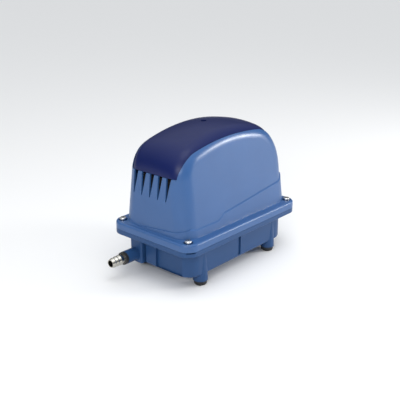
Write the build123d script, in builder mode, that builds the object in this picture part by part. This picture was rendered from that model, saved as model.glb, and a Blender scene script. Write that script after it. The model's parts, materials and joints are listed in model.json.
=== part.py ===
from build123d import *
import os

# Linear-motor air pump: a drafted, arched housing screwed to a base pan on four rubber feet, with a
# lift-off filter cover over a foam filter. Inside, a bar with magnets swings between two
# electromagnets and works one diaphragm head at each end; both heads feed a tank and a hose barb.
# Millimetres, +Z up, X along the pump with the hose barb towards -X, feet standing on Z = 0.

os.makedirs("parts", exist_ok=True)

# ---- housing ----
flange_length = 250
flange_width = 152
flange_corner = 18
flange_under = 57.6
flange_top = 76
flange_edge_round = 3
parting_height = 65
gasket_thickness = 0.4
gasket_inset = 0.8
gasket_band = 8
wall = 3
form_half_x = 116.4
form_half_y = 64.1
draft_x = 0.025
draft_y = 0.12
crown_height = 212.1
crown_centre_x = -1
crown_radius = 279
crown_axis_height = 29.7
front_shoulder_radius = 45.2
rear_shoulder_radius = 71.7
corner_radius = 23.2
cove_radius = 4
cover_screw_x = 112.5
cover_screw_y = 63.6
cover_screw_head = 5
cover_screw_head_height = 6
cover_screw_round = 1.6
cross_slot_width = 1.2
cross_slot_depth = 1.6
cover_screw_seat = 73.4
cover_screw_shank = 2.5
cover_screw_tip = 60
screw_recess_radius = 6.8

# ---- raised skirt above the flange ----
skirt_step = 1.5
crease_low = 87.5
crease_high = 94.2
crease_rise = 0.095
crease_rear_height = 110.8
crease_jog_start = -48
crease_jog_end = -35
crease_front_y = 15
crease_front_height = 79.7
crease_front_slope_y = 0.097
crease_front_slope_x = 0.25
crease_reach = 62.5

# ---- filter bay and cover ----
cover_half_width = 45.6
cover_plan = [(-125, 34), (-111, 41.5), (-105, 43.5), (-90, 45), (-20, 45.6), (50, 44.7), (125, 38)]
cover_edge_height = 157.4
cover_wall = 2.6
cover_gap = 0.3
cover_rebate = 1
cover_skirt_depth = 7
bay_wall = 2.5
deck_height = 114
deck_thickness = 2.5
air_hole_radius = 3
air_hole_pitch = 26
air_hole_columns = 6
air_hole_rows = 4
slot_count = 5
slot_pitch = 15.4
slot_width = 8.6
slot_tip_width = 1.6
slot_tip_shift = 5.6
slot_tip_height = 124
slot_reach = 10
hold_x = -4.5
hold_y = 5
hold_post_radius = 5
hold_post_top = 197
hold_cup_radius = 6.5
hold_cup_bore = 4.4
hold_cup_floor = 2.6
hold_head_radius = 3.9
hold_head_height = 3
hold_head_round = 0.8
hold_shank_radius = 1.95
hold_shank_length = 20
foam_top = 150
foam_half_x = 100
foam_margin = 1.5
foam_corner = 5

# ---- base pan, legs and outlet ----
pan_half_x = 108
pan_half_y = 63
pan_corner = 20
pan_bottom = 16.5
pan_bottom_round = 5
pan_wall = 4
pan_front_wall = 10
root_round = 1
pry_notch_angle = 56
pry_notch_width = 13
pry_notch_depth = 3
pry_notch_height = 1.5
groove_x = -2.3
groove_width = 6.5
groove_depth = 2
groove_bottom = 21
panel_right = -47
panel_left = 3
panel_bottom = 18
panel_top = 49
panel_depth = 4
slit_right = 22.6
slit_depth = 4
leg_x = 78.3
leg_y = 54.7
leg_radius = 10.8
leg_top_radius = 8
leg_bottom = 7.5
foot_radius = 9.3
foot_round = 3.5
foot_stem_radius = 4
foot_stem_top = 15
outlet_y = 40
outlet_z = 29.5
outlet_block_x = -113
outlet_block_low_y = 27
outlet_block_high_y = 50
outlet_block_round = 3
outlet_boss_radius = 9.5
outlet_boss_end = -133
outlet_bore_radius = 6.9

# ---- hose barb ----
seal_thickness = 1.2
collar_radius = 9.3
collar_end = -138.4
collar_bevel = 0.8
barb_tip = -160
barb_land_radius = 6.7
barb_ridge_radius = 7.6
barb_count = 3
barb_pitch = 5.6
barb_land = 5
barb_crest = 1.2
barb_shrink = 0.25
barb_bore_radius = 5
barb_shank_radius = 6.8
barb_shank_end = -90

# ---- cord gland in the rear wall ----
gland_y = -30
gland_z = 42
gland_hole_radius = 7
gland_bore_radius = 3.6
gland_collar_radius = 10
gland_collar = 2.5
gland_neck_radius = 6.5
gland_neck_length = 10
gland_lip = 2
gland_lip_radius = 8

# ---- linear motor ----
motor_z = 86
plate_bottom = 58
plate_thickness = 2.5
plate_round = 4
plate_half_y = 47
end_plate_x = 68.5
head_half_width = 33
head_half_height = 24
head_round = 4
stack_half_height = 12
core_half_length = 30
core_back_inner = 34
core_back_outer = 43
core_pole_face = 10
core_leg_width = 8
core_centre_half = 7
coil_half_height = 22
coil_half_length = 20
coil_inner_y = 13.5
coil_outer_y = 32
bobbin_flange = 1.5
bobbin_wall = 1.5
core_screw_x = 26
core_screw_y = 38.5
core_screw_radius = 1.9
core_pillar_radius = 4.5
lead_radius = 1.2
lead_bend = 5
terminal_x = (60, 90)
terminal_top = 36
terminal_places = [(67, -52), (75, -52), (83, -55)]
bar_half_length = 62
bar_half_thickness = 4
bar_half_height = 14
magnet_x = 15
magnet_half_length = 6.5
magnet_half_height = 11
magnet_half_thickness = 7.5
stud_radius = 4
stud_end = 77

# ---- pump heads, X measured outwards from the middle of the pump ----
diaphragm_x = 68.5
diaphragm_thickness = 2.5
diaphragm_radius = 23.5
chamber_radius = 18.5
hub_radius = 12
hub_thickness = 2.4
nut_half_width = 6.5
nut_thickness = 3.5
chamber_depth = 12
partition = 2
valve_room_depth = 9
head_cover_thickness = 3
divider_half = 1.5
port_radius = 4
port_offset = 8.75
flap_width = 13
flap_height = 13
flap_thickness = 1
flap_round = 2
flap_gap = 0.1
head_bolt_y = 28
head_bolt_z = 17
head_bolt_radius = 2
pocket_half_width = 22
pocket_half_height = 21
elbow_x = 89.5
elbow_y = 15
elbow_outer_radius = 4.2
elbow_inner_radius = 2.8

# ---- air tank ----
tank_front_x = -96.5
tank_rear_x = 97
tank_right_y = -44
tank_left_y = 56
tank_floor = 19.5
tank_height = 23.5
tank_wall = 2.5
tank_corner = 14
tank_lid_thickness = 3
isolator_x = 52
isolator_y = 36
isolator_radius = 7
isolator_waist = 5.5
isolator_peg_radius = 3
frame_screw_radius = 1.5
frame_screw_head = 3.2
frame_screw_tip = 50

# The housing's middle stands off the frame's origin, because the barb counts in the length.
frame_shift = -(barb_tip + flange_length / 2) / 2
ends = {"rear": 0, "front": 180}
sides = {"left": 0, "right": 180}
deck_top = deck_height + deck_thickness
lower_flange_top = parting_height - gasket_thickness / 2
upper_flange_bottom = parting_height + gasket_thickness / 2
bay_half_width = cover_half_width + cover_gap
tank_top = tank_floor + tank_height
lid_top = tank_top + tank_lid_thickness
plate_top = plate_bottom + plate_thickness
clearance = 0.05


def write(piece, name, turn=0):
    """Label a finished piece, turn it about the pump's middle and write it in the pump's frame."""
    placed = Pos(frame_shift, 0, 0) * Rot(0, 0, turn) * piece.part
    placed.label = name
    export_step(placed, f"parts/{name}.step")


def block(low, high):
    """A box between two corners, kept out of the running context."""
    size = [high[axis] - low[axis] for axis in range(3)]
    return Pos(*low) * Box(*size, align=(Align.MIN, Align.MIN, Align.MIN), mode=Mode.PRIVATE)


def rod(start, radius, length, direction="x"):
    """A cylinder from a start point along one axis, kept out of the running context."""
    turns = {"x": Rot(0, 90, 0), "-x": Rot(0, -90, 0), "z": Rot(0, 0, 0)}
    stem = Cylinder(radius, length, align=(Align.CENTER, Align.CENTER, Align.MIN), mode=Mode.PRIVATE)
    return Pos(*start) * turns[direction] * stem


def cross_slot(head_radius):
    """Cut a crossed driver slot into the top of a screw head at the current place."""
    length = 1.2 * head_radius
    for size in ((length, cross_slot_width), (cross_slot_width, length)):
        Box(*size, 2 * cross_slot_depth, mode=Mode.SUBTRACT)


def four(x, y, z):
    """The four places at plus and minus x and y."""
    return [(x * along, y * across, z) for along in (-1, 1) for across in (-1, 1)]


def housing_form(inset):
    """The drafted, arched form above the parting line, moved inwards by inset."""
    half_x = form_half_x - inset
    half_y = form_half_y - inset
    spread_x = draft_x * (parting_height - crown_axis_height)
    narrowing_x = draft_x * (crown_height - parting_height)
    narrowing_y = draft_y * (crown_height - parting_height)
    with BuildPart() as form:
        with BuildSketch(Plane.XZ) as arch:
            with BuildLine():
                Polyline(
                    (-half_x - spread_x, crown_axis_height),
                    (-half_x + narrowing_x, crown_height),
                    (half_x - narrowing_x, crown_height),
                    (half_x + spread_x, crown_axis_height),
                    close=True,
                )
            make_face()
            with Locations((crown_centre_x, crown_height - crown_radius)):
                Circle(crown_radius - inset, mode=Mode.INTERSECT)
            for place, radius in ((-1, rear_shoulder_radius), (0, front_shoulder_radius)):
                upper = arch.vertices().filter_by(lambda corner: corner.Y > parting_height)
                fillet(upper.sort_by(Axis.X)[place], radius - inset)
        revolve(axis=Axis((0, 0, crown_axis_height), (1, 0, 0)))
        with BuildSketch(Plane.YZ):
            with BuildLine():
                Polyline(
                    (-half_y, upper_flange_bottom),
                    (half_y, upper_flange_bottom),
                    (half_y - narrowing_y, crown_height - inset),
                    (-half_y + narrowing_y, crown_height - inset),
                    close=True,
                )
            make_face()
        extrude(amount=flange_length, both=True, mode=Mode.INTERSECT)
        flanks = form.faces().sort_by(Axis.Y)
        outline = flanks[0].edges() + flanks[-1].edges()
        fillet(outline.filter_by(lambda edge: edge.center().Z > parting_height + 1), corner_radius - inset)
    return form.part


def cover_strip(growth, bottom):
    """The filter cover's bowed plan, grown sideways, from a height up to far above the crown."""
    left_edge = [(x, half_width + growth) for x, half_width in cover_plan]
    right_edge = [(x, -y) for x, y in left_edge]
    with BuildPart() as strip:
        with BuildSketch(Plane.XY.offset(bottom)):
            with BuildLine():
                Spline(*left_edge)
                Spline(*right_edge)
                Line(left_edge[0], right_edge[0])
                Line(left_edge[-1], right_edge[-1])
            make_face()
        extrude(amount=crown_height)
    return strip.part


outer_form = housing_form(0)
inner_form = housing_form(wall)

# ---- skirt: a step in the housing wall, bevelled along a crease that jogs up along the long sides ----
crease_line = [
    (-flange_length, crease_low),
    (crease_jog_start, crease_low),
    (crease_jog_end, crease_high),
    (flange_length, crease_high + (flange_length - crease_jog_end) * crease_rise),
]
with BuildPart() as crease_roof:
    for across in (-1, 1):
        with BuildSketch(Plane.XZ):
            with BuildLine():
                roof_line = [(x, z + crease_reach) for x, z in crease_line]
                Polyline((-flange_length, 0), *roof_line, (flange_length, 0), close=True)
            make_face()
        extrude(amount=flange_width, dir=(0, across, -1))

with BuildPart() as skirt:
    add(housing_form(-skirt_step))
    add(crease_roof.part, mode=Mode.INTERSECT)
    front_origin = (-form_half_x, crease_front_y, crease_front_height)
    front_normal = (-crease_front_slope_x, crease_front_slope_y, 1)
    front_crease = Plane(front_origin, x_dir=(1, 0, crease_front_slope_x), z_dir=front_normal)
    rear_crease = Plane((form_half_x, 0, crease_rear_height), x_dir=(1, 0, -1), z_dir=(1, 0, 1))
    split(bisect_by=front_crease, keep=Keep.BOTTOM)
    split(bisect_by=rear_crease, keep=Keep.BOTTOM)

# ---- filter bay: a tray across the housing, under the opening that the cover closes ----
with BuildPart() as filter_bay:
    tray_half = bay_half_width + bay_wall
    add(block((-form_half_x, -tray_half, deck_height), (form_half_x, tray_half, crown_height)))
    add(
        block((-form_half_x, -bay_half_width, deck_top), (form_half_x, bay_half_width, crown_height)),
        mode=Mode.SUBTRACT,
    )
    add(outer_form, mode=Mode.INTERSECT)
    with Locations((0, 0, deck_top)):
        with GridLocations(air_hole_pitch, air_hole_pitch, air_hole_columns, air_hole_rows):
            Hole(air_hole_radius, depth=deck_thickness)
    add(rod((hold_x, hold_y, deck_height), hold_post_radius, hold_post_top - deck_height, "z"))
    screw_hole_start = (hold_x, hold_y, hold_post_top - hold_shank_length)
    add(rod(screw_hole_start, hold_shank_radius + clearance, hold_shank_length, "z"), mode=Mode.SUBTRACT)

# ---- upper housing ----
with BuildPart() as upper_housing:
    with BuildSketch(Plane.XY.offset(upper_flange_bottom)):
        RectangleRounded(flange_length, flange_width, flange_corner)
    extrude(amount=flange_top - upper_flange_bottom)
    fillet(upper_housing.edges().group_by(Axis.Z)[-1], flange_edge_round)
    add(outer_form)
    flange_edges = upper_housing.edges().filter_by_position(Axis.Z, flange_top - 0.1, flange_top + 0.1)
    root_edges = flange_edges.filter_by(lambda edge: abs(edge.center().X) < form_half_x)
    fillet(root_edges.filter_by(lambda edge: abs(edge.center().Y) < form_half_y), cove_radius)
    add(skirt.part)
    for x, y, z in four(cover_screw_x, cover_screw_y, upper_flange_bottom):
        add(rod((x, y, z), cover_screw_shank + clearance, flange_top, "z"), mode=Mode.SUBTRACT)
        add(rod((x, y, cover_screw_seat), screw_recess_radius, flange_top, "z"), mode=Mode.SUBTRACT)
    add(inner_form, mode=Mode.SUBTRACT)
    add(cover_strip(cover_gap, cover_edge_height), mode=Mode.SUBTRACT)
    add(filter_bay.part)
    with BuildSketch(Plane.YZ.offset(-form_half_x)):
        for slot in range(slot_count):
            middle = (slot - (slot_count - 1) / 2) * slot_pitch
            with BuildLine():
                Polyline(
                    (middle - slot_width / 2, cover_edge_height + 1),
                    (middle + slot_tip_shift - slot_tip_width / 2, slot_tip_height),
                    (middle + slot_tip_shift + slot_tip_width / 2, slot_tip_height),
                    (middle + slot_width / 2, cover_edge_height + 1),
                    close=True,
                )
            make_face()
    extrude(amount=slot_reach, mode=Mode.SUBTRACT)
write(upper_housing, "upper_housing")

# ---- filter cover: a strip of the same arch, let in a little, with skirts and a screw cup ----
cover_seat = hold_post_top + clearance
screw_seat = cover_seat + hold_cup_floor
with BuildPart() as cover_solid:
    add(housing_form(cover_rebate))
    add(cover_strip(0, cover_edge_height + cover_gap), mode=Mode.INTERSECT)

with BuildPart() as cover_skirts:
    add(cover_solid.part)
    add(cover_strip(-cover_wall, 0), mode=Mode.SUBTRACT)
    add(housing_form(cover_skirt_depth), mode=Mode.SUBTRACT)

with BuildPart() as hold_cup:
    add(rod((hold_x, hold_y, cover_seat), hold_cup_radius, crown_height - cover_seat, "z"))
    add(cover_solid.part, mode=Mode.INTERSECT)

with BuildPart() as filter_cover:
    add(cover_solid.part)
    add(housing_form(cover_rebate + cover_wall), mode=Mode.SUBTRACT)
    add(cover_skirts.part)
    add(hold_cup.part)
    add(rod((hold_x, hold_y, screw_seat), hold_cup_bore, crown_height - screw_seat, "z"), mode=Mode.SUBTRACT)
    shank_hole = rod((hold_x, hold_y, hold_post_top), hold_shank_radius + clearance, crown_height, "z")
    add(shank_hole, mode=Mode.SUBTRACT)
write(filter_cover, "filter_cover")

with BuildPart() as filter_cover_screw:
    head_low = screw_seat + clearance
    add(rod((hold_x, hold_y, head_low), hold_head_radius, hold_head_height, "z"))
    fillet(filter_cover_screw.edges().group_by(Axis.Z)[-1], hold_head_round)
    shank_start = (hold_x, hold_y, hold_post_top + clearance - hold_shank_length)
    add(rod(shank_start, hold_shank_radius, head_low - shank_start[-1], "z"))
    with Locations((hold_x, hold_y, head_low + hold_head_height)):
        cross_slot(hold_head_radius)
write(filter_cover_screw, "filter_cover_screw")

# ---- foam filter block, lying on the tray round the screw post ----
with BuildPart() as filter_foam:
    foam_half_y = bay_half_width - foam_margin
    add(block((-foam_half_x, -foam_half_y, deck_top), (foam_half_x, foam_half_y, foam_top)))
    fillet(filter_foam.edges().filter_by(Axis.Z), foam_corner)
    add(rod((hold_x, hold_y, deck_top), hold_post_radius + cover_gap, foam_top, "z"), mode=Mode.SUBTRACT)
write(filter_foam, "filter_foam")

# ---- gasket and screws of the flange ----
with BuildPart() as housing_gasket:
    with BuildSketch(Plane.XY.offset(lower_flange_top)):
        RectangleRounded(
            flange_length - 2 * gasket_inset, flange_width - 2 * gasket_inset, flange_corner - gasket_inset
        )
        RectangleRounded(
            flange_length - 2 * gasket_inset - 2 * gasket_band,
            flange_width - 2 * gasket_inset - 2 * gasket_band,
            flange_corner - gasket_inset,
            mode=Mode.SUBTRACT,
        )
    extrude(amount=gasket_thickness)
    for x, y, z in four(cover_screw_x, cover_screw_y, 0):
        add(rod((x, y, z), cover_screw_shank + clearance, flange_top, "z"), mode=Mode.SUBTRACT)
write(housing_gasket, "housing_gasket")

with BuildPart() as cover_screws:
    with BuildSketch(Plane.XY.offset(cover_screw_seat)):
        with GridLocations(2 * cover_screw_x, 2 * cover_screw_y, 2, 2):
            Circle(cover_screw_head)
    extrude(amount=cover_screw_head_height)
    fillet(cover_screws.edges().group_by(Axis.Z)[-1], cover_screw_round)
    for x, y, z in four(cover_screw_x, cover_screw_y, cover_screw_tip):
        add(rod((x, y, z), cover_screw_shank, cover_screw_seat - cover_screw_tip, "z"))
    with Locations(*four(cover_screw_x, cover_screw_y, cover_screw_seat + cover_screw_head_height)):
        cross_slot(cover_screw_head)
write(cover_screws, "cover_screws")

# ---- base pan ----
with BuildPart() as outlet_block:
    add(
        block(
            (outlet_block_x, outlet_block_low_y, pan_bottom),
            (pan_front_wall - pan_half_x, outlet_block_high_y, flange_under),
        )
    )
    fillet(outlet_block.edges().filter_by(Axis.Z).sort_by(Axis.X)[:2], outlet_block_round)
    fillet(outlet_block.edges().group_by(Axis.Z)[0].sort_by(Axis.X)[0], outlet_block_round / 2)

with BuildPart() as base_pan:
    with BuildSketch(Plane.XY.offset(pan_bottom)):
        RectangleRounded(2 * pan_half_x, 2 * pan_half_y, pan_corner)
    extrude(amount=flange_under - pan_bottom)
    fillet(base_pan.edges().group_by(Axis.Z)[0], pan_bottom_round)
    with BuildSketch(Plane.XY.offset(flange_under)):
        RectangleRounded(flange_length, flange_width, flange_corner)
    extrude(amount=lower_flange_top - flange_under)
    root_edges = base_pan.edges().filter_by_position(Axis.Z, flange_under, flange_under)
    fillet(root_edges.sort_by(Axis.X)[0], root_round)
    add(
        block(
            (-pan_half_x - 1, panel_right, panel_bottom),
            (panel_depth - pan_half_x, panel_left, panel_top),
        ),
        mode=Mode.SUBTRACT,
    )
    corner_x = flange_corner - flange_length / 2
    corner_y = flange_corner - flange_width / 2
    notch_turn = Rot(0, 0, 180 + pry_notch_angle)
    with Locations(Pos(corner_x, corner_y, lower_flange_top) * notch_turn * Pos(flange_corner, 0, 0)):
        Box(2 * pry_notch_depth, pry_notch_width, 2 * pry_notch_height, mode=Mode.SUBTRACT)
    add(
        block(
            (-pan_half_x - 1, slit_right, panel_bottom),
            (slit_depth - pan_half_x, outlet_block_low_y, panel_top),
        ),
        mode=Mode.SUBTRACT,
    )
    for side in (-1, 1):
        groove_y = side * (pan_half_y + 1)
        with Locations((groove_x, groove_y, (groove_bottom + flange_under) / 2)):
            Box(groove_width, 2 * (groove_depth + 1), flange_under - groove_bottom, mode=Mode.SUBTRACT)
    add(outlet_block.part)
    boss_start = (outlet_block_x, outlet_y, outlet_z)
    add(rod(boss_start, outlet_boss_radius, outlet_block_x - outlet_boss_end, "-x"))
    with Locations(*four(leg_x, leg_y, (leg_bottom + flange_under) / 2)):
        Cone(leg_radius, leg_top_radius, flange_under - leg_bottom)
    with BuildSketch(Plane.XY.offset(tank_floor)):
        with Locations(((pan_front_wall - pan_wall) / 2, 0)):
            pan_inner_length = 2 * pan_half_x - pan_front_wall - pan_wall
            RectangleRounded(pan_inner_length, 2 * (pan_half_y - pan_wall), pan_corner - pan_wall)
    extrude(amount=lower_flange_top - tank_floor, mode=Mode.SUBTRACT)
    bore_start = (outlet_boss_end, outlet_y, outlet_z)
    add(rod(bore_start, outlet_bore_radius, tank_front_x - outlet_boss_end, "x"), mode=Mode.SUBTRACT)
    add(rod((pan_half_x - 2 * pan_wall, gland_y, gland_z), gland_hole_radius, 20, "x"), mode=Mode.SUBTRACT)
    for x, y, z in four(cover_screw_x, cover_screw_y, cover_screw_tip):
        add(rod((x, y, z), cover_screw_shank + clearance, 20, "z"), mode=Mode.SUBTRACT)
    for x, y, z in four(leg_x, leg_y, 0):
        add(rod((x, y, z), foot_stem_radius + clearance, foot_stem_top + clearance, "z"), mode=Mode.SUBTRACT)
write(base_pan, "base_pan")

# ---- rubber feet ----
for end, along in {"front": -1, "rear": 1}.items():
    for side, across in {"right": -1, "left": 1}.items():
        with BuildPart() as foot:
            add(rod((along * leg_x, across * leg_y, 0), foot_radius, leg_bottom, "z"))
            fillet(foot.edges().group_by(Axis.Z)[0], foot_round)
            add(rod((along * leg_x, across * leg_y, 0), foot_stem_radius, foot_stem_top, "z"))
        write(foot, f"{end}_{side}_foot")

# ---- outlet: seal ring, collar and hose barb on one axis ----
with BuildPart() as outlet_seal_ring:
    seal_start = (outlet_boss_end, outlet_y, outlet_z)
    add(rod(seal_start, outlet_boss_radius - seal_thickness / 2, seal_thickness, "-x"))
    add(rod(seal_start, barb_shank_radius + clearance, seal_thickness, "-x"), mode=Mode.SUBTRACT)
write(outlet_seal_ring, "outlet_seal_ring")

with BuildPart() as outlet_collar:
    collar_start = (outlet_boss_end - seal_thickness, outlet_y, outlet_z)
    collar_length = collar_start[0] - collar_end
    add(rod(collar_start, collar_radius, collar_length, "-x"))
    chamfer(outlet_collar.edges().group_by(Axis.X)[0], collar_bevel)
    add(rod(collar_start, barb_shank_radius + clearance, collar_length, "-x"), mode=Mode.SUBTRACT)
write(outlet_collar, "outlet_collar")

with BuildPart() as outlet_barb:
    with BuildSketch(Plane.XZ.offset(-outlet_y)):
        with BuildLine():
            ridge_line = [(barb_shank_end, barb_bore_radius), (barb_shank_end, barb_shank_radius)]
            ridge_line += [(collar_end, barb_shank_radius), (collar_end, barb_land_radius)]
            for ridge in range(barb_count):
                ridge_x = collar_end - barb_land - ridge * barb_pitch
                shrink = ridge * barb_shrink
                ridge_line += [(ridge_x, barb_land_radius - shrink), (ridge_x, barb_ridge_radius - shrink)]
                ridge_line += [(ridge_x - barb_crest, barb_ridge_radius - shrink)]
            ridge_line += [(barb_tip, barb_land_radius - shrink - 0.2), (barb_tip, barb_bore_radius)]
            Polyline(*[(x, outlet_z + radius) for x, radius in ridge_line], close=True)
        make_face()
    revolve(axis=Axis((0, outlet_y, outlet_z), (1, 0, 0)))
write(outlet_barb, "outlet_barb")

# ---- cord gland: a grooved rubber grommet in the rear wall ----
with BuildPart() as cord_gland:
    gland_start = pan_half_x - pan_wall - gland_lip
    add(rod((gland_start, gland_y, gland_z), gland_hole_radius - clearance, pan_wall + gland_lip, "x"))
    add(rod((gland_start, gland_y, gland_z), gland_lip_radius, gland_lip, "x"))
    add(rod((pan_half_x, gland_y, gland_z), gland_collar_radius, gland_collar, "x"))
    add(rod((pan_half_x, gland_y, gland_z), gland_neck_radius, gland_neck_length, "x"))
    gland_length = pan_wall + gland_lip + gland_neck_length
    add(rod((gland_start, gland_y, gland_z), gland_bore_radius, gland_length, "x"), mode=Mode.SUBTRACT)
write(cord_gland, "cord_gland")

# ---- air tank and its lid ----
with BuildPart() as air_tank:
    add(block((tank_front_x, tank_right_y, tank_floor), (tank_rear_x, tank_left_y, tank_top)))
    fillet(air_tank.edges().filter_by(Axis.Z), tank_corner)
    offset(amount=-tank_wall, openings=air_tank.faces().sort_by(Axis.Z)[-1])
    add(rod((tank_front_x - 1, outlet_y, outlet_z), outlet_bore_radius, 9, "x"), mode=Mode.SUBTRACT)
write(air_tank, "air_tank")

with BuildPart() as air_tank_lid:
    add(block((tank_front_x, tank_right_y, tank_top), (tank_rear_x, tank_left_y, lid_top)))
    fillet(air_tank_lid.edges().filter_by(Axis.Z), tank_corner)
    for direction in (-1, 1):
        inlet = (direction * elbow_x, direction * elbow_y, tank_top)
        add(rod(inlet, elbow_outer_radius + clearance, 10, "z"), mode=Mode.SUBTRACT)
    for x, y, z in four(isolator_x, isolator_y, tank_top + 1):
        add(rod((x, y, z), isolator_peg_radius + clearance, 10, "z"), mode=Mode.SUBTRACT)
write(air_tank_lid, "air_tank_lid")

# ---- rubber isolators between the tank lid and the motor frame ----
for end, along in {"front": -1, "rear": 1}.items():
    for side, across in {"right": -1, "left": 1}.items():
        with BuildPart() as isolator:
            with BuildSketch(Plane.XZ):
                with BuildLine():
                    Line((0, lid_top), (isolator_radius, lid_top))
                    ThreePointArc(
                        (isolator_radius, lid_top),
                        (isolator_waist, (lid_top + plate_bottom) / 2),
                        (isolator_radius, plate_bottom),
                    )
                    Line((isolator_radius, plate_bottom), (0, plate_bottom))
                    Line((0, plate_bottom), (0, lid_top))
                make_face()
            revolve(axis=Axis.Z)
            add(rod((0, 0, tank_top + 1), isolator_peg_radius, 3, "z"))
            add(rod((0, 0, frame_screw_tip), frame_screw_radius + clearance, 20, "z"), mode=Mode.SUBTRACT)
        isolator.part.position = (along * isolator_x, across * isolator_y, 0)
        write(isolator, f"{end}_{side}_isolator")

# ---- motor frame: a folded plate with four pillars ----
with BuildPart() as motor_frame:
    add(block((-end_plate_x, -plate_half_y, plate_bottom), (end_plate_x, plate_half_y, plate_top)))
    fillet(motor_frame.edges().filter_by(Axis.Z), plate_round)
    for x in (-end_plate_x, end_plate_x - plate_thickness):
        add(
            block(
                (x, -head_half_width, plate_bottom),
                (x + plate_thickness, head_half_width, motor_z + head_half_height),
            )
        )
    add(rod((-end_plate_x - 1, 0, motor_z), chamber_radius, 2 * end_plate_x + 2), mode=Mode.SUBTRACT)
    for x, y, z in four(core_screw_x, core_screw_y, plate_top):
        add(rod((x, y, z), core_pillar_radius, motor_z - stack_half_height - plate_top, "z"))
        add(rod((x, y, z), core_screw_radius + clearance, 20, "z"), mode=Mode.SUBTRACT)
    for x, y, z in four(isolator_x, isolator_y, plate_bottom):
        add(rod((x, y, z), frame_screw_radius + clearance, 10, "z"), mode=Mode.SUBTRACT)
    for x, y, z in four(0, head_bolt_y, motor_z - head_bolt_z) + four(0, head_bolt_y, motor_z + head_bolt_z):
        bolt_hole = rod((x - end_plate_x, y, z), head_bolt_radius + clearance, 2 * end_plate_x)
        add(bolt_hole, mode=Mode.SUBTRACT)
write(motor_frame, "motor_frame")

with BuildPart() as frame_screws:
    for x, y, z in four(isolator_x, isolator_y, frame_screw_tip):
        add(rod((x, y, plate_top), frame_screw_head, 2.5, "z"))
        add(rod((x, y, z), frame_screw_radius, plate_top - frame_screw_tip, "z"))
write(frame_screws, "frame_screws")

# ---- electromagnets: an E core, a bobbin and a coil on each side of the bar ----
stack_low = motor_z - stack_half_height
stack_high = motor_z + stack_half_height
with BuildPart() as core:
    legs = {
        -core_half_length: core_leg_width,
        -core_centre_half: 2 * core_centre_half,
        core_half_length - core_leg_width: core_leg_width,
    }
    back_start = (-core_half_length, core_back_inner, stack_low)
    add(block(back_start, (core_half_length, core_back_outer, stack_high)))
    for x, width in legs.items():
        add(block((x, core_pole_face, stack_low), (x + width, core_back_inner, stack_high)))
    for x in (-core_screw_x, core_screw_x):
        add(rod((x, core_screw_y, stack_low), core_screw_radius + clearance, 30, "z"), mode=Mode.SUBTRACT)

with BuildPart() as bobbin:
    tube_half_x = core_centre_half + clearance + bobbin_wall
    tube_half_z = stack_half_height + clearance + bobbin_wall
    with BuildSketch(Plane.XZ.offset(-coil_outer_y)):
        with Locations((0, motor_z)):
            Rectangle(2 * tube_half_x, 2 * tube_half_z)
    extrude(amount=coil_outer_y - coil_inner_y)
    for flange_y in (coil_outer_y, coil_inner_y + bobbin_flange):
        with BuildSketch(Plane.XZ.offset(-flange_y)):
            with Locations((0, motor_z)):
                RectangleRounded(2 * coil_half_length, 2 * coil_half_height, 4)
        extrude(amount=bobbin_flange)
    with BuildSketch(Plane.XZ.offset(-coil_outer_y)):
        with Locations((0, motor_z)):
            Rectangle(2 * (core_centre_half + clearance), 2 * (stack_half_height + clearance))
    extrude(amount=coil_outer_y - coil_inner_y, mode=Mode.SUBTRACT)

with BuildPart() as coil:
    with BuildSketch(Plane.XZ.offset(bobbin_flange - coil_outer_y)):
        with Locations((0, motor_z)):
            RectangleRounded(2 * coil_half_length - 3, 2 * coil_half_height - 3, 6)
            Rectangle(2 * tube_half_x, 2 * tube_half_z, mode=Mode.SUBTRACT)
    extrude(amount=coil_outer_y - coil_inner_y - 2 * bobbin_flange)

for side, turn in sides.items():
    write(core, f"{side}_core", turn)
    write(bobbin, f"{side}_bobbin", turn)
    write(coil, f"{side}_coil", turn)

with BuildPart() as core_screws:
    for x, y, z in four(core_screw_x, core_screw_y, plate_top + 2):
        add(rod((x, y, stack_high), core_screw_radius * 2, 2.5, "z"))
        add(rod((x, y, z), core_screw_radius, stack_high - plate_top - 2, "z"))
write(core_screws, "core_screws")

# ---- armature: bar, magnets, hub discs and nuts, which swing together along X ----
with BuildPart() as armature_bar:
    with Locations((0, 0, motor_z)):
        Box(2 * bar_half_length, 2 * bar_half_thickness, 2 * bar_half_height)
    fillet(armature_bar.edges().filter_by(Axis.Y), plate_round)
    for x in (-magnet_x, magnet_x):
        with Locations((x, 0, motor_z)):
            Box(2 * magnet_half_length, bar_half_height, 2 * magnet_half_height, mode=Mode.SUBTRACT)
    add(rod((bar_half_length, 0, motor_z), stud_radius, stud_end - bar_half_length))
    add(rod((-bar_half_length, 0, motor_z), stud_radius, stud_end - bar_half_length, "-x"))
write(armature_bar, "armature_bar")

with BuildPart() as magnets:
    with Locations((-magnet_x, 0, motor_z), (magnet_x, 0, motor_z)):
        Box(2 * magnet_half_length, 2 * magnet_half_thickness, 2 * magnet_half_height)
write(magnets, "magnets")

inner_hub_x = diaphragm_x - hub_thickness
outer_hub_x = diaphragm_x + diaphragm_thickness
nut_x = outer_hub_x + hub_thickness
with BuildPart() as hub_discs:
    for start in (inner_hub_x, outer_hub_x):
        add(rod((start, 0, motor_z), hub_radius, hub_thickness))
        add(rod((-start, 0, motor_z), hub_radius, hub_thickness, "-x"))
    add(rod((-flange_length, 0, motor_z), stud_radius, 2 * flange_length), mode=Mode.SUBTRACT)
write(hub_discs, "hub_discs")

with BuildPart() as rod_nuts:
    for start in (nut_x, -nut_x - nut_thickness):
        with BuildSketch(Plane.YZ.offset(start)):
            with Locations((0, motor_z)):
                RegularPolygon(nut_half_width, 6, major_radius=False)
                Circle(stud_radius, mode=Mode.SUBTRACT)
        extrude(amount=nut_thickness)
write(rod_nuts, "rod_nuts")

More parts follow.
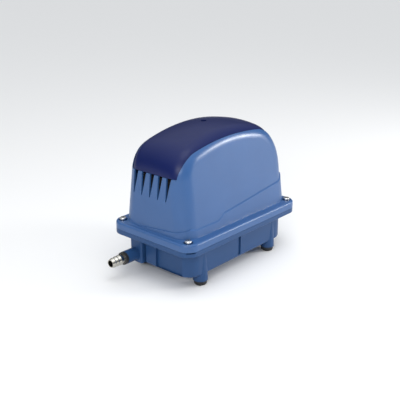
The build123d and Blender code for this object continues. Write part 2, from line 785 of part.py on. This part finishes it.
# ---- pump heads, made for the rear end and turned round for the front ----
with BuildPart() as diaphragm:
    add(rod((diaphragm_x, 0, motor_z), diaphragm_radius, diaphragm_thickness))
    add(rod((diaphragm_x, 0, motor_z), stud_radius + clearance, diaphragm_thickness), mode=Mode.SUBTRACT)
    groove_middle = (hub_radius + chamber_radius) / 2
    for face_x in (diaphragm_x, outer_hub_x):
        with BuildSketch(Plane.XZ):
            with Locations((face_x, motor_z + groove_middle)):
                Circle(0.9)
        revolve(axis=Axis((0, 0, motor_z), (1, 0, 0)), mode=Mode.SUBTRACT)

chamber_end = outer_hub_x + chamber_depth
room_start = chamber_end + partition
room_end = room_start + valve_room_depth
with BuildPart() as head_body:
    add(
        block(
            (outer_hub_x, -head_half_width, motor_z - head_half_height),
            (room_end, head_half_width, motor_z + head_half_height),
        )
    )
    fillet(head_body.edges().filter_by(Axis.X), head_round)
    add(rod((outer_hub_x, 0, motor_z), chamber_radius, chamber_depth), mode=Mode.SUBTRACT)
    for low_z, high_z in ((-pocket_half_height, -divider_half), (divider_half, pocket_half_height)):
        add(
            block(
                (room_start, -pocket_half_width, motor_z + low_z),
                (room_end, pocket_half_width, motor_z + high_z),
            ),
            mode=Mode.SUBTRACT,
        )
    for port_z in (-port_offset, port_offset):
        add(rod((chamber_end, 0, motor_z + port_z), port_radius, partition), mode=Mode.SUBTRACT)
    add(rod((elbow_x, 0, motor_z), port_radius, head_half_height, "z"), mode=Mode.SUBTRACT)
    add(
        rod((elbow_x, elbow_y, motor_z - head_half_height), elbow_outer_radius + clearance, 10, "z"),
        mode=Mode.SUBTRACT,
    )
    for y in (-head_bolt_y, head_bolt_y):
        for z in (motor_z - head_bolt_z, motor_z + head_bolt_z):
            add(rod((outer_hub_x, y, z), head_bolt_radius + clearance, 40), mode=Mode.SUBTRACT)

with BuildPart() as head_cover:
    add(
        block(
            (room_end, -head_half_width, motor_z - head_half_height),
            (room_end + head_cover_thickness, head_half_width, motor_z + head_half_height),
        )
    )
    fillet(head_cover.edges().filter_by(Axis.X), head_round)
    for y in (-head_bolt_y, head_bolt_y):
        for z in (motor_z - head_bolt_z, motor_z + head_bolt_z):
            add(rod((room_end, y, z), head_bolt_radius + clearance, 40), mode=Mode.SUBTRACT)

with BuildPart() as head_bolts:
    bolt_start = end_plate_x - plate_thickness
    for y in (-head_bolt_y, head_bolt_y):
        for z in (motor_z - head_bolt_z, motor_z + head_bolt_z):
            cover_face = room_end + head_cover_thickness
            add(rod((bolt_start, y, z), head_bolt_radius, cover_face - bolt_start))
            add(rod((cover_face, y, z), head_bolt_radius * 1.9, 2.6))

with BuildPart() as inlet_flap:
    flap_low = motor_z + port_offset - flap_height / 2
    add(
        block(
            (chamber_end - flap_gap - flap_thickness, -flap_width / 2, flap_low),
            (chamber_end - flap_gap, flap_width / 2, flap_low + flap_height),
        )
    )
    fillet(inlet_flap.edges().filter_by(Axis.X), flap_round)

with BuildPart() as outlet_flap:
    flap_low = motor_z - port_offset - flap_height / 2
    add(
        block(
            (room_start + flap_gap, -flap_width / 2, flap_low),
            (room_start + flap_gap + flap_thickness, flap_width / 2, flap_low + flap_height),
        )
    )
    fillet(outlet_flap.edges().filter_by(Axis.X), flap_round)

with BuildPart() as head_pipe:
    pipe_length = motor_z - head_half_height + 2 - tank_top
    add(rod((elbow_x, elbow_y, tank_top), elbow_outer_radius, pipe_length, "z"))
    add(rod((elbow_x, elbow_y, lid_top), elbow_outer_radius + 1.5, 2, "z"))
    add(rod((elbow_x, elbow_y, tank_top), elbow_inner_radius, pipe_length, "z"), mode=Mode.SUBTRACT)

for end, turn in ends.items():
    write(diaphragm, f"{end}_diaphragm", turn)
    write(head_body, f"{end}_head_body", turn)
    write(head_cover, f"{end}_head_cover", turn)
    write(head_bolts, f"{end}_head_bolts", turn)
    write(inlet_flap, f"{end}_inlet_flap", turn)
    write(outlet_flap, f"{end}_outlet_flap", turn)
    write(head_pipe, f"{end}_head_pipe", turn)

# ---- wiring ----
with BuildPart() as terminal_block:
    terminal_start = (terminal_x[0], 1 + pan_wall - pan_half_y, tank_floor)
    add(block(terminal_start, (terminal_x[1], tank_right_y - 1, terminal_top)))
    with Locations(*[(x, y, terminal_top) for x, y in terminal_places]):
        Hole(lead_radius + clearance, depth=8)
write(terminal_block, "terminal_block")

right_route = [(67, -52, 30), (67, -52, 67), (10, -52, 67), (10, -coil_outer_y, 67)]
left_route = [(83, -55, 30), (83, -55, 66), (44, -55, 66), (44, 49, 66)]
left_route += [(12, 49, 66), (12, coil_outer_y, 66)]
with BuildPart() as internal_leads:
    for route in (right_route, left_route):
        with BuildLine():
            FilletPolyline(*route, radius=lead_bend)
        with BuildSketch(Plane(origin=route[0], z_dir=(0, 0, 1))):
            Circle(lead_radius)
        sweep()
write(internal_leads, "internal_leads")
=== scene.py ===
import json
import math

import bpy
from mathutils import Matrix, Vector

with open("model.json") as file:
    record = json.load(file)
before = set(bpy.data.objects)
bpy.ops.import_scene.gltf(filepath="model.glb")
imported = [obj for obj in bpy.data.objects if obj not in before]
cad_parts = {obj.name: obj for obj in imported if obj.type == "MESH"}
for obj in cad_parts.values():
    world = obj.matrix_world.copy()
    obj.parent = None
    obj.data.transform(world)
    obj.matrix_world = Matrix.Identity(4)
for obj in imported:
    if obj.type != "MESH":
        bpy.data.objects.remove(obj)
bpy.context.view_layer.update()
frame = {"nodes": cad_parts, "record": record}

# Looks of the air pump: materials for every CAD node, a pale floor, soft light and the camera.
# Metres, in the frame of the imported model: X along the pump, hose barb towards -X, feet on Z = 0.

nodes = frame["nodes"]
scene = bpy.context.scene
scene.view_settings.view_transform = "Standard"


# ---------------------------------------------------------------- camera
camera_place = (-0.69848, -0.62174, 0.43580)
camera_heading = math.radians(-48.32)
camera_pitch = math.radians(20.03)
camera_lens = 60.95
sensor_width = 36


def make_camera():
    """The camera, standing to the front right of the pump and looking down on it a little."""
    data = bpy.data.cameras.new("camera")
    data.sensor_width = sensor_width
    data.lens = camera_lens
    camera = bpy.data.objects.new("camera", data)
    camera.location = camera_place
    camera.rotation_euler = (math.pi / 2 - camera_pitch, 0, camera_heading)
    scene.collection.objects.link(camera)
    scene.camera = camera


# ---------------------------------------------------------------- light and floor
pump_middle = (0, 0, 0.12)
sky_low = 0.3
sky_high = 0.95
horizon_strength = 0.1
overhead_strength = 1.35
sky_colour = (0.96, 0.98, 1, 1)
floor_reach = 14
floor_colour = (0.92, 0.92, 0.92, 1)
floor_roughness = 0.9


def area_light(name, place, size, power):
    """A square or oblong soft box that points at the middle of the pump; power in watts."""
    data = bpy.data.lights.new(name, "AREA")
    data.shape = "RECTANGLE"
    data.size, data.size_y = size
    data.energy = power
    light = bpy.data.objects.new(name, data)
    light.location = place
    light.rotation_euler = (Vector(pump_middle) - Vector(place)).to_track_quat("-Z", "Y").to_euler()
    scene.collection.objects.link(light)


def make_sky():
    """White surroundings that dim towards the horizon, so rounded edges read against flat faces."""
    world = bpy.data.worlds.new("studio")
    world.use_nodes = True
    background = world.node_tree.nodes["Background"]
    place = add_node(background, "ShaderNodeTexCoord")
    axes = add_node(background, "ShaderNodeSeparateXYZ")
    rise = add_node(background, "ShaderNodeMapRange")
    rise.inputs["From Min"].default_value = sky_low
    rise.inputs["From Max"].default_value = sky_high
    rise.inputs["To Min"].default_value = horizon_strength
    rise.inputs["To Max"].default_value = overhead_strength
    link(background, place.outputs["Generated"], axes.inputs["Vector"])
    link(background, axes.outputs["Z"], rise.inputs["Value"])
    link(background, rise.outputs["Result"], background.inputs["Strength"])
    background.inputs["Color"].default_value = sky_colour
    scene.world = world


def make_studio():
    """The sky, three soft boxes and a plain pale floor."""
    make_sky()
    area_light("side_box", place=(0.95, -0.87, 0.36), size=(0.35, 0.12), power=8.0)
    area_light("front_box", place=(-1.09, -0.57, 0.70), size=(0.8, 0.3), power=6.5)
    area_light("top_box", place=(-0.19, -0.36, 1.5), size=(0.9, 0.9), power=4.0)

    mesh = bpy.data.meshes.new("floor")
    corners = ((-1, -1), (1, -1), (1, 1), (-1, 1))
    mesh.from_pydata(
        [(x * floor_reach, y * floor_reach, 0) for x, y in corners],
        [],
        [(0, 1, 2, 3)],
    )
    floor = bpy.data.objects.new("floor", mesh)
    scene.collection.objects.link(floor)
    paper, shader = new_material("floor_paper")
    shader.inputs["Base Color"].default_value = floor_colour
    shader.inputs["Roughness"].default_value = floor_roughness
    floor.data.materials.append(paper)


# ---------------------------------------------------------------- material helpers
pattern_low = 0.3
pattern_high = 0.7
wave_scale = math.pi / 10


def new_material(name):
    """A fresh node material and its Principled shader."""
    material = bpy.data.materials.new(name + "_look")
    material.use_nodes = True
    return material, material.node_tree.nodes["Principled BSDF"]


def add_node(shader, kind, **settings):
    """A node in the shader's tree with its properties set."""
    node = shader.id_data.nodes.new(kind)
    for key, value in settings.items():
        setattr(node, key, value)
    return node


def link(shader, source, target):
    """Join an output socket to an input socket."""
    shader.id_data.links.new(source, target)


def noise(shader, scale, detail=3, stretch=(1, 1, 1)):
    """A noise pattern fixed to the object, with about one feature every 1/scale metres."""
    place = add_node(shader, "ShaderNodeTexCoord")
    mapping = add_node(shader, "ShaderNodeMapping")
    mapping.inputs["Scale"].default_value = stretch
    pattern = add_node(shader, "ShaderNodeTexNoise")
    pattern.inputs["Scale"].default_value = scale
    pattern.inputs["Detail"].default_value = detail
    link(shader, place.outputs["Object"], mapping.inputs["Vector"])
    link(shader, mapping.outputs["Vector"], pattern.inputs["Vector"])
    return pattern.outputs["Fac"]


def spread(shader, fac, low, high):
    """A pattern's middle range stretched over two values."""
    node = add_node(shader, "ShaderNodeMapRange")
    node.inputs["From Min"].default_value = pattern_low
    node.inputs["From Max"].default_value = pattern_high
    node.inputs["To Min"].default_value = low
    node.inputs["To Max"].default_value = high
    link(shader, fac, node.inputs["Value"])
    return node.outputs["Result"]


def vary_colour(shader, low, high, fac):
    """Colour that moves between two values with a pattern, through a Mix node's colour sockets."""
    mix = add_node(shader, "ShaderNodeMix", data_type="RGBA")
    link(shader, spread(shader, fac, 0, 1), mix.inputs["Factor"])
    first, second, mixed = mix.inputs[6], mix.inputs[7], mix.outputs[2]
    first.default_value = (*low, 1)
    second.default_value = (*high, 1)
    link(shader, mixed, shader.inputs["Base Color"])


def vary_roughness(shader, low, high, fac):
    """Roughness that moves between two values with a pattern."""
    link(shader, spread(shader, fac, low, high), shader.inputs["Roughness"])


def add_bump(shader, height, depth):
    """Surface relief from a pattern, depth in metres."""
    bump = add_node(shader, "ShaderNodeBump")
    bump.inputs["Distance"].default_value = depth
    bump.inputs["Strength"].default_value = 1
    link(shader, height, bump.inputs["Height"])
    link(shader, bump.outputs["Normal"], shader.inputs["Normal"])


# ---------------------------------------------------------------- materials
moulded_grain = 0.000015
tool_marks = 0.00002


def moulded_plastic(name, colour, roughness, specular=0.4):
    """Injection-moulded plastic: faint flow marks in the colour, fine spark-eroded grain."""
    material, shader = new_material(name)
    dark = [channel * 0.96 for channel in colour]
    light = [min(1, channel * 1.04) for channel in colour]
    vary_colour(shader, dark, light, noise(shader, 18, 2))
    vary_roughness(shader, roughness - 0.015, roughness + 0.02, noise(shader, 60, 2))
    add_bump(shader, noise(shader, 1800, 2), moulded_grain)
    shader.inputs["Specular IOR Level"].default_value = specular
    return material


def soft_rubber(name, colour, roughness=0.62):
    """Matt rubber or soft vinyl, a little uneven in tone and surface."""
    material, shader = new_material(name)
    light = [channel * 1.8 for channel in colour]
    vary_colour(shader, colour, light, noise(shader, 60, 5))
    vary_roughness(shader, roughness - 0.08, roughness + 0.1, noise(shader, 150, 3))
    add_bump(shader, noise(shader, 900, 4), 0.00006)
    return material


def metal(name, colour, roughness, stretch=(1, 1, 1), scale=500):
    """Bare metal with fine tool marks; stretch sets which way they run."""
    material, shader = new_material(name)
    shader.inputs["Metallic"].default_value = 1
    dark = [channel * 0.86 for channel in colour]
    vary_colour(shader, dark, colour, noise(shader, 70, 4))
    vary_roughness(shader, roughness * 0.75, roughness * 1.35, noise(shader, scale, 4, stretch))
    add_bump(shader, noise(shader, scale, 2, stretch), tool_marks)
    return material


def open_foam(name):
    """Dark open-cell foam in its own dark tone; the pores are painted darker than the cell walls on the
    bump's pattern, as painted shade.
    """
    material, shader = new_material(name)
    cell_relief_and_pore_shade = noise(shader, 700, 2)
    # painted shade: the colour is darkest where the relief is lowest, in the pores
    vary_colour(shader, (0.008, 0.008, 0.009), (0.06, 0.06, 0.065), cell_relief_and_pore_shade)
    shader.inputs["Roughness"].default_value = 0.95
    add_bump(shader, cell_relief_and_pore_shade, 0.0008)
    return material


def banded(name, colours, direction, pitch, metallic, roughness, depth):
    """Fine parallel bands along one axis: stacked laminations, or turns of wire."""
    material, shader = new_material(name)
    place = add_node(shader, "ShaderNodeTexCoord")
    wave = add_node(shader, "ShaderNodeTexWave", wave_type="BANDS", bands_direction=direction)
    wave.inputs["Scale"].default_value = wave_scale / pitch
    wave.inputs["Distortion"].default_value = 0.4
    wave.inputs["Detail Scale"].default_value = 4
    link(shader, place.outputs["Object"], wave.inputs["Vector"])
    vary_colour(shader, *colours, wave.outputs["Fac"])
    shader.inputs["Metallic"].default_value = metallic
    vary_roughness(shader, roughness - 0.1, roughness + 0.1, noise(shader, 200, 3))
    add_bump(shader, wave.outputs["Fac"], depth)
    return material


def make_materials():
    """One material for each material slot of the record."""
    return {
        "housing_plastic": moulded_plastic("housing_plastic", (0.036, 0.108, 0.285), 0.31, specular=0.5),
        "base_plastic": moulded_plastic("base_plastic", (0.022, 0.07, 0.19), 0.36, specular=0.25),
        "cover_plastic": moulded_plastic("cover_plastic", (0.006, 0.013, 0.085), 0.33, specular=0.25),
        "steel": metal("steel", (0.78, 0.78, 0.77), 0.2),
        "nickel": metal("nickel", (0.62, 0.60, 0.54), 0.2, stretch=(6, 1, 1), scale=300),
        "rubber": soft_rubber("rubber", (0.012, 0.012, 0.013)),
        "black_plastic": moulded_plastic("black_plastic", (0.02, 0.02, 0.022), 0.45),
        "tank_plastic": moulded_plastic("tank_plastic", (0.025, 0.026, 0.028), 0.5),
        "white_plastic": moulded_plastic("white_plastic", (0.72, 0.70, 0.64), 0.4),
        "foam": open_foam("foam"),
        "frame_metal": metal("frame_metal", (0.62, 0.63, 0.62), 0.34),
        "aluminium": metal("aluminium", (0.78, 0.79, 0.80), 0.36),
        "laminations": banded(
            "laminations",
            colours=((0.05, 0.05, 0.055), (0.16, 0.16, 0.17)),
            direction="Z",
            pitch=0.0005,
            metallic=0.7,
            roughness=0.45,
            depth=0.0001,
        ),
        "copper": banded(
            "copper",
            colours=((0.28, 0.07, 0.02), (0.78, 0.33, 0.13)),
            direction="Y",
            pitch=0.0006,
            metallic=1.0,
            roughness=0.3,
            depth=0.0003,
        ),
        "magnet": metal("magnet", (0.74, 0.74, 0.76), 0.14),
        "lead_insulation": soft_rubber("lead_insulation", (0.30, 0.05, 0.03), 0.45),
    }


def dress_nodes():
    """Give each CAD node the material of its slot."""
    materials = make_materials()
    for entry in frame["record"]["subparts"]:
        mesh = nodes[entry["node"]].data
        mesh.materials.clear()
        mesh.materials.append(materials[entry["material_slot"]])


make_camera()
make_studio()
dress_nodes()
